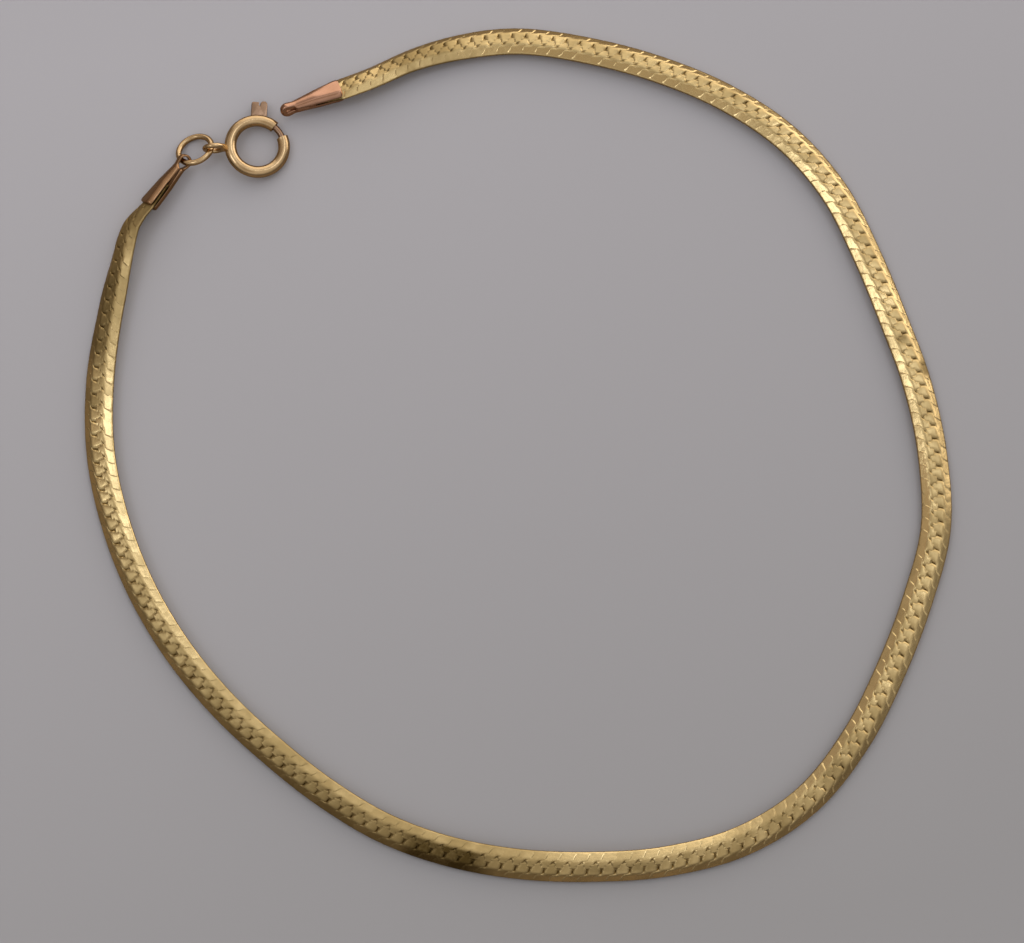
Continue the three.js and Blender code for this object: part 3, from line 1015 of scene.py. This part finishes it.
            # the "depth" attribute carries the painted shade and grime, not the depth under the filed faces
            for label, kind, field_name, values in (
                ("tarnish", "FLOAT", "value", np.clip(dull.ravel(), 0.0, 1.0)),
                ("depth", "FLOAT", "value", grime.ravel()),
                ("band", "FLOAT_VECTOR", "vector", band),
            ):
                attribute = half.data.attributes.new(label, kind, "POINT")
                attribute.data.foreach_set(field_name, values[rows].ravel().astype(np.float32))
            hand_over(half, Body.BRACELET, "chain", material)
            made.append(half)
        return made

    def grime(self, out: Array, across: Array, depth: Array, inside: Array, uneven: Array) -> Array:
        """Darken the gold with painted shade and grime in seams and pits, with painted shade inside the tags,
        and with the stains.

        Args:
            out: Length of each point from the free tag's mouth.
            across: Place of each point across the chain.
            depth: How deep each point lies under the filed faces.
            inside: How far each point lies inside a tag, negative outside.
            uneven: Strength of the stains on each link.

        Returns:
            How dark each point is.
        """
        # painted shade, with some grime, in the seams and pits: darker the deeper a point lies under the
        # filed faces
        grime = 0.1 * smoothstep(depth, 0.01, 0.04) + 0.7 * smoothstep(depth, 0.05, 0.1)
        # painted shade on the chain's ends inside the tags
        grime = np.maximum(grime, 0.95 * smoothstep(inside, 0.05, 0.25))
        for start, end, inner, outer, strength in self.stains:
            share = strength * uneven
            for value, low, high, soft in (
                (out, start, end, self.stain_edge * (end - start) + 0.2),
                (across, inner, outer, self.stain_edge),
            ):
                share = share * smoothstep(value, low - soft, low + soft)
                share = share * smoothstep(-value, -high - soft, soft - high)
            grime = np.maximum(grime, share)
        return grime


@dataclass
class FoldedTag:
    """End tag: a tapered strip folded over the chain's end, with a narrow loop at its tip."""

    sizes: TagSizes
    place: Place
    name: str
    curl: float
    loop_wall: float = 0.17
    neck_wall: float = 0.34
    curl_width: float = 0.34
    corner: float = 0.17
    leaf_steps: int = 44
    bend_steps: int = 20
    across_steps: int = 18

    def half_width(self, reach: Array) -> Array:
        """Find half the strip's width at distances from the mouth, where its corners are rounded.

        Args:
            reach: Distances from the mouth.

        Returns:
            Half widths.
        """
        sizes, corner, slight = self.sizes, self.corner, 0.3 * self.corner
        wide, slim, narrow = sizes.mouth_width / 2, sizes.neck_width / 2, sizes.loop_width / 2
        neck = sizes.length - sizes.loop_length
        stops = [0.0, slight, corner, sizes.shoulder, neck, neck + sizes.loop_corner, sizes.length]
        widths = [wide - corner, wide - slight, wide, wide, slim, narrow, narrow]
        return np.interp(reach, stops, widths)

    def profile(self) -> tuple[Array, Array, Array]:
        """Trace the strip's outside from its lower leaf's mouth over the fold to the upper leaf's.

        Returns:
            Along and up of each place, the direction out of it, and the wall's thickness there.
        """
        sizes = self.sizes
        fold = sizes.loop_outer / 2
        bend = sizes.length - fold
        neck = sizes.length - sizes.loop_length
        flat = np.linspace(0.0, bend, self.leaf_steps)
        levels = [sizes.mouth_half, sizes.mouth_half, sizes.neck_height / 2, fold]
        base = np.interp(flat, [0.0, sizes.grip, neck, bend], levels)
        base[1:-1] = np.convolve(base, [0.25, 0.5, 0.25], mode="valid")
        walls = [sizes.wall, sizes.wall, self.neck_wall, self.loop_wall]
        thick = np.interp(flat, [0.0, sizes.grip + 0.2, neck, neck + 0.4], walls)
        lower = np.stack([flat, -base], axis=1)
        angle = np.linspace(-math.pi / 2, math.pi / 2, self.bend_steps + 2)[1:-1]
        arc = np.stack([bend + fold * np.cos(angle), fold * np.sin(angle)], axis=1)
        path = np.vstack([lower, arc, (lower * [1, -1])[::-1]])
        run = np.gradient(path, axis=0)
        out = unit(np.stack([run[:, 1], -run[:, 0]], axis=1))
        wall = np.concatenate([thick, np.full(len(arc), self.loop_wall), thick[::-1]])
        return path, out, wall

    def build(self, material: bpy.types.Material) -> bpy.types.Object:
        """Make the tag.

        Args:
            material: The tag's gold.

        Returns:
            The piece.
        """
        path, out, walls = self.profile()
        turn = np.linspace(0.0, 2 * math.pi, 2 * self.across_steps, endpoint=False)
        side = squared_circle(turn, 0.35)[0]
        level = squared_circle(turn, 0.6)[1]
        rings = []
        for (reach, up), normal, wall in zip(path, out, walls):
            half = float(self.half_width(np.array(reach)))
            across = half * side
            to_edge = np.maximum(half - np.abs(across), 0.0)
            drop = self.curl * np.clip(1 - to_edge / self.curl_width, 0.0, 1.0) ** 2
            drop = drop * np.clip((half - 0.25) / 0.4, 0.15, 1.0)
            shift = wall * (level - 1) / 2 - drop
            rings.append(np.stack([reach + normal[0] * shift, across, up + normal[1] * shift], axis=1))
        faces = sweep_faces(len(rings), len(turn), closed=False)
        piece = make_piece(self.name + "_leaf", self.place.to_part(np.vstack(rings)), faces, 60.0)
        hand_over(piece, Body.BRACELET, self.name, material)
        return piece


def wire_points(mean: float, radii: Array, turn: Array, around: Array) -> Array:
    """Place rings of points round a wire that is bent about the up axis.

    Args:
        mean: Radius of the bend.
        radii: Radius of the wire at each place along it.
        turn: Angle of each place along the bend, in radians.
        around: Angle of each point round the wire, in radians.

    Returns:
        The points, one a row.
    """
    turn = turn[:, None]
    reach = mean + radii[:, None] * np.cos(around)
    up = radii[:, None] * np.sin(around)
    return np.stack([reach * np.cos(turn), reach * np.sin(turn), up], axis=2).reshape(-1, 3)


def full_turn(count: int) -> Array:
    """Divide a full turn, in radians, into even steps."""
    return np.linspace(0.0, 2 * math.pi, count, endpoint=False)


def bent_wire(
    mean: float, radius: float, start: float, end: float, sides: int, step: float, domed: bool = False
) -> tuple[Array, Faces]:
    """Sweep a round wire about the up axis, capped at both ends.

    Args:
        mean: Radius of the bend.
        radius: Radius of the wire.
        start: First angle in degrees.
        end: Last angle in degrees.
        sides: Points round the wire.
        step: Degrees between two sections.
        domed: Whether both ends are rounded off.

    Returns:
        The points and the faces.
    """
    angles = np.linspace(start, end, max(2, round((end - start) / step)) + 1)
    radii = np.full(len(angles), radius)
    if domed:
        dome = np.radians(np.linspace(8.0, 82.0, 6))
        shrunk = radius * np.sin(dome)
        past = math.degrees(radius / mean) * np.cos(dome)
        angles = np.concatenate([start - past, angles, (end + past)[::-1]])
        radii = np.concatenate([shrunk, radii, shrunk[::-1]])
    around = math.pi / 2 - full_turn(sides) - math.pi / sides
    points = wire_points(mean, radii, np.radians(angles), around)
    return points, sweep_faces(len(angles), sides, closed=False)


@dataclass
class JumpRing:
    """Closed ring of round wire that joins the clasp tag to the spring ring's eye."""

    sizes: JumpSizes
    place: Place
    seam_at: float = 140.0
    seam_width: float = 1.6
    seam_depth: float = 0.035
    steps: int = 96
    sides: int = 20

    def build(self, material: bpy.types.Material) -> bpy.types.Object:
        """Make the jump ring, with a fine soldered seam.

        Args:
            material: The clasp's gold.

        Returns:
            The piece.
        """
        turn = full_turn(self.steps)
        seam = np.exp(-(((np.degrees(turn) - self.seam_at) / self.seam_width) ** 2))
        radii = self.sizes.wire / 2 - self.seam_depth * seam
        points = wire_points(self.sizes.mean, radii, turn, full_turn(self.sides))
        faces = sweep_faces(self.steps, self.sides, closed=True)
        piece = make_piece("jump_ring_wire", self.place.to_part(points), faces)
        hand_over(piece, Body.BRACELET, "jump_ring", material)
        return piece


@dataclass
class SpringRing:
    """Hollow ring with an open gate, a slot for the lever and a soldered eye."""

    sizes: RingSizes
    place: Place
    slot_from: float = 74.0
    slot_to: float = 127.0
    slot_height: float = 0.42
    slot_steps: int = 16
    past_gate: float = 7.0
    solder: float = 0.55
    eye_steps: int = 56
    eye_sides: int = 16
    sides: int = 28
    step: float = 3.0

    def build(self, material: bpy.types.Material) -> bpy.types.Object:
        """Make the spring ring.

        Args:
            material: The clasp's gold.

        Returns:
            The piece.
        """
        sizes = self.sizes
        tube = self.rod("spring_ring_tube", sizes.tube / 2, 0.0)
        bore = self.rod("bore", sizes.tube / 2 - sizes.wall, self.past_gate)
        combine(tube, self.eye(), Cut.JOIN)
        combine(tube, bore, Cut.TAKE)
        combine(tube, self.slot(), Cut.TAKE)
        hand_over(tube, Body.BRACELET, "spring_ring", material)
        return tube

    def rod(self, name: str, radius: float, past: float) -> bpy.types.Object:
        """Make a rod bent round the ring from one side of the gate to the other.

        Args:
            name: Name of the object.
            radius: Radius of the rod.
            past: Degrees that it goes on into the gate at each end.

        Returns:
            The object.
        """
        sizes = self.sizes
        start, end = sizes.gate_to - past, 360.0 + sizes.gate_from + past
        points, faces = bent_wire(sizes.mean, radius, start, end, self.sides, self.step)
        return make_piece(name, self.place.to_part(points), faces)

    def eye(self) -> bpy.types.Object:
        """Make the eye with the solder that holds it to the tube.

        Returns:
            The object.
        """
        sizes = self.sizes
        turn = full_turn(self.eye_steps)
        near_tube = np.clip(np.cos(turn), 0.0, 1.0) ** 10
        radii = sizes.eye_wire / 2 * (1 + self.solder * near_tube)
        lying = wire_points((sizes.eye_outer - sizes.eye_wire) / 2, radii, turn, full_turn(self.eye_sides))
        upright = lying[:, [0, 2, 1]] - [sizes.eye_distance, 0.0, 0.0]
        faces = sweep_faces(self.eye_steps, self.eye_sides, closed=True)
        return make_piece("eye", self.place.to_part(upright), faces)

    def slot(self) -> bpy.types.Object:
        """Make the curved block that cuts the lever's slot.

        Returns:
            The object.
        """
        inner, outer = self.sizes.mean, self.sizes.outer / 2 + self.sizes.wall
        half = self.slot_height / 2
        corners = ((half, inner), (half, outer), (-half, outer), (-half, inner))
        points = np.array([
            (reach * math.cos(angle), reach * math.sin(angle), up)
            for angle in np.radians(np.linspace(self.slot_from, self.slot_to, self.slot_steps))
            for up, reach in corners
        ])
        faces = sweep_faces(self.slot_steps, len(corners), closed=False)
        return make_piece("slot", self.place.to_part(points), faces)


@dataclass
class BoltLever:
    """Bolt that slides in the spring ring, with its stem and two-lobed thumb lever."""

    ring: RingSizes
    place: Place
    clearance: float = 0.06
    # Gap between the lobes and the tube that they are hollowed to fit, and how far they lap it
    lever_gap: float = 0.025
    lap: float = 0.2
    overlap: float = 6.0
    span: float = 126.0
    angle: float = 83.0
    width: float = 1.22
    reach: float = 1.06
    thickness: float = 0.6
    groove: float = 0.1
    groove_from: float = 0.7
    rounding: float = 0.14
    stem_width: float = 0.5
    stem_height: float = 0.3
    collar_half: float = 32.0

    def build(self, material: bpy.types.Material) -> bpy.types.Object:
        """Make the bolt with its lever.

        Args:
            material: The clasp's gold.

        Returns:
            The piece.
        """
        ring = self.ring
        radius = ring.tube / 2 - ring.wall - self.clearance
        tip = ring.gate_from - self.overlap
        dome = math.degrees(radius / ring.mean)
        points, faces = bent_wire(ring.mean, radius, tip + dome, tip + self.span - dome, 20, 3.0, domed=True)
        bolt = make_piece("bolt_and_lever", self.place.to_part(points), faces)
        top = ring.outer / 2 + self.lever_gap + 2 * self.groove
        half = self.stem_width / 2
        corners = [(-half, ring.mean), (half, ring.mean), (half, top), (-half, top)]
        stem = self.slab("stem", corners, self.stem_height)
        lever = rounded(self.slab("lever", self.outline(), self.thickness), self.rounding, 4)
        start, end = self.angle - self.collar_half, self.angle + self.collar_half
        points, faces = bent_wire(ring.mean, ring.tube / 2 + self.lever_gap, start, end, 48, 1.5)
        combine(lever, make_piece("collar", self.place.to_part(points), faces), Cut.TAKE)
        for other in (lever, stem):
            combine(bolt, other, Cut.JOIN)
        hand_over(bolt, Body.BOLT, "bolt_lever", material)
        return bolt

    def outline(self) -> list[tuple[float, float]]:
        """Trace the thumb lever with its two lobes, seen from above.

        Returns:
            Corners across and out from the ring's middle.
        """
        base = self.ring.outer / 2 - self.lap
        top = self.ring.outer / 2 + self.reach
        half, cut = self.width / 2, self.groove / 2
        radius = (half - cut) / 2
        arc = [
            (half - radius + radius * math.cos(turn), top - radius + radius * math.sin(turn))
            for turn in np.linspace(0.0, math.pi, 9)
        ]
        foot = base + (top - base) * self.groove_from
        return [
            (-half, base), (half, base), *arc, (cut, foot), (-cut, foot), (-cut, top - self.groove),
            (-half + self.groove, top - self.groove), (-half, top - 2 * self.groove),
        ]

    def slab(self, name: str, outline: list[tuple[float, float]], thickness: float) -> bpy.types.Object:
        """Make a flat slab at the lever's angle.

        Args:
            name: Name of the object.
            outline: Corners across and out from the ring's middle.
            thickness: Thickness of the slab.

        Returns:
            The object.
        """
        turn = math.radians(self.angle - 90.0)
        flat = np.array([
            (x * math.cos(turn) - y * math.sin(turn), x * math.sin(turn) + y * math.cos(turn))
            for x, y in outline
        ])
        half = np.full((len(flat), 1), thickness / 2)
        points = np.vstack([np.hstack([flat, -half]), np.hstack([flat, half])])
        faces = sweep_faces(2, len(flat), closed=False)
        return make_piece(name, self.place.to_part(points), faces, 40.0)


# Table, light and camera


@dataclass(frozen=True)
class RoomPatch:
    """Part of the room, lighter or darker than the rest, seen only as light and in reflections.

    It is even as far as its inner number of degrees from its middle, and ends at its outer one.
    """

    towards: tuple[float, float, float]
    inner: float
    outer: float
    colour: Colour


@dataclass
class Studio:
    """Pale table, soft room light, one key light and the camera."""

    table_size: float = 4.0
    # colours of the table's painted light falloff: lit at the back left, shaded at the front right
    painted_lit_table: Colour = (0.53, 0.54, 0.6)
    painted_shaded_table: Colour = (0.395, 0.405, 0.435)
    # painted shade: the dark brown that the table shows in the gold's reflections
    table_shade_in_reflections: Colour = (0.26, 0.21, 0.16)
    horizon: Colour = (0.12, 0.1, 0.085)
    zenith: Colour = (0.66, 0.62, 0.58)
    patches: tuple[RoomPatch, ...] = (
        RoomPatch((0.0, 1.0, 0.14), 16.0, 42.0, (1.3, 1.15, 1.0)),
        RoomPatch((0.06, 0.74, 0.67), 9.0, 20.0, (1.25, 1.15, 1.05)),
        RoomPatch((-0.54, 0.47, 0.7), 10.0, 24.0, (0.36, 0.3, 0.26)),
        RoomPatch((-0.77, 0.17, 0.62), 10.0, 20.0, (0.42, 0.35, 0.29)),
        RoomPatch((0.72, 0.67, 0.18), 16.0, 38.0, (1.8, 1.6, 1.4)),
        RoomPatch((-0.12, -0.3, 0.94), 8.0, 20.0, (0.38, 0.32, 0.26)),
        RoomPatch((-0.49, -0.1, 0.865), 5.0, 12.0, (2.1, 2.1, 2.2)),
        RoomPatch((0.34, 0.26, 0.905), 4.0, 12.0, (1.9, 1.9, 2.0)),
    )
    key_at: tuple[float, float, float] = (-0.16, 0.24, 0.26)
    key_size: float = 0.5
    key_watts: float = 0.25
    camera_at: tuple[float, float, float] = (-0.354, -37.98, 203.64)
    camera_tilt: float = 10.0
    focal_length: float = 96.4

    def build(self) -> None:
        """Make the table, the light and the camera."""
        self.table()
        self.light()
        self.camera()

    def table(self) -> None:
        """Make the pale table."""
        half = self.table_size / 2
        mesh = bpy.data.meshes.new("table")
        corners = [(-half, -half, 0), (half, -half, 0), (half, half, 0), (-half, half, 0)]
        mesh.from_pydata(corners, [], [(0, 1, 2, 3)])
        table = linked("table", mesh)
        material = bpy.data.materials.new("pale_table")
        material.use_nodes = True
        sheet = NodeSheet(material.node_tree)
        shader = material.node_tree.nodes["Principled BSDF"]
        spot = sheet.add("TexCoord").outputs["Object"]
        # painted light falloff: the table grows darker towards the front right, broken up by soft noise
        haze = sheet.math("MULTIPLY_ADD", sheet.noise(spot, 16.0, 2.0), 0.15, 0.4)
        painted_light_falloff = sheet.math("ADD", sheet.dot(spot, (4.0, -12.0, 0.0)), haze, clamp=True)
        seen = sheet.mix(painted_light_falloff, self.painted_lit_table, self.painted_shaded_table)
        # painted reflection: glossy rays see the table dark brown, so the gold's edges mirror a shaded table
        painted_reflection_mask = sheet.add("LightPath").outputs["Is Glossy Ray"]
        sheet.feed(shader.inputs["Base Color"], sheet.mix(painted_reflection_mask, seen, self.table_shade_in_reflections))
        shader.inputs["Roughness"].default_value = 0.85
        shader.inputs["Specular IOR Level"].default_value = 0.2
        mesh.materials.append(material)

    def light(self) -> None:
        """Light the room with soft patches and add one large key light."""
        world = bpy.data.worlds.new("soft_room")
        bpy.context.scene.world = world
        world.use_nodes = True
        sheet = NodeSheet(world.node_tree)
        ground = world.node_tree.nodes["Background"]
        direction = sheet.add("TexCoord").outputs["Generated"]
        height = sheet.add("SeparateXYZ", Vector=direction).outputs["Z"]
        total = sheet.mix(sheet.eased(height, 0.1, 0.95), self.horizon, self.zenith)
        for patch in self.patches:
            facing = sheet.dot(direction, tuple(unit(np.array(patch.towards))))
            rim, core = (math.cos(math.radians(angle)) for angle in (patch.outer, patch.inner))
            total = sheet.mix(sheet.eased(facing, rim, core), total, patch.colour)
        sheet.feed(ground.inputs["Color"], total)

        lamp = bpy.data.lights.new("key", "AREA")
        lamp.energy = self.key_watts
        lamp.size = self.key_size
        key = linked("key", lamp)
        key.location = self.key_at
        key.visible_glossy = False
        aim = -unit(np.array(self.key_at))
        key.rotation_euler = (
            math.atan2(math.hypot(aim[0], aim[1]), -aim[2]), 0.0, math.atan2(-aim[0], aim[1])
        )

    def camera(self) -> None:
        """Place the camera as the photograph was taken, from above and a little off the vertical."""
        lens = bpy.data.cameras.new("camera")
        lens.sensor_fit = "HORIZONTAL"
        lens.sensor_width = 36.0
        lens.lens = self.focal_length
        lens.clip_start = 0.01
        view = linked("camera", lens)
        view.location = np.array(self.camera_at) * MM
        view.rotation_euler = (math.radians(self.camera_tilt), 0.0, 0.0)
        bpy.context.scene.camera = view
        bpy.context.scene.view_settings.view_transform = "Standard"


def main() -> None:
    """Build the bracelet and its surroundings, and note the sizes."""
    logging.basicConfig(level=logging.INFO, format="%(name)s: %(message)s")
    Studio().build()
    tarnish_and_shade_group()
    marks_group()
    chain_gold, tag_gold, shaded_gold, clasp_gold, shaded_lever_finish = (
        finish.build() for finish in (CHAIN_GOLD, TAG_GOLD, SHADED_TAG_GOLD, CLASP_GOLD, SHADED_LEVER_GOLD)
    )
    layout = Layout()
    log.info("chain: %d links, %.1f mm", layout.links, layout.line.length)
    Chain(layout).build(chain_gold)
    FoldedTag(layout.tag, layout.free_place, "free_end_tag", 0.37, loop_wall=0.42).build(tag_gold)
    FoldedTag(layout.tag, layout.clasp_place, "clasp_end_tag", 0.26).build(shaded_gold)
    JumpRing(layout.jump, layout.jump_place).build(clasp_gold)
    SpringRing(layout.ring, layout.ring_place).build(clasp_gold)
    BoltLever(layout.ring, layout.ring_place).build(shaded_lever_finish)


if __name__ == "__main__":
    main()
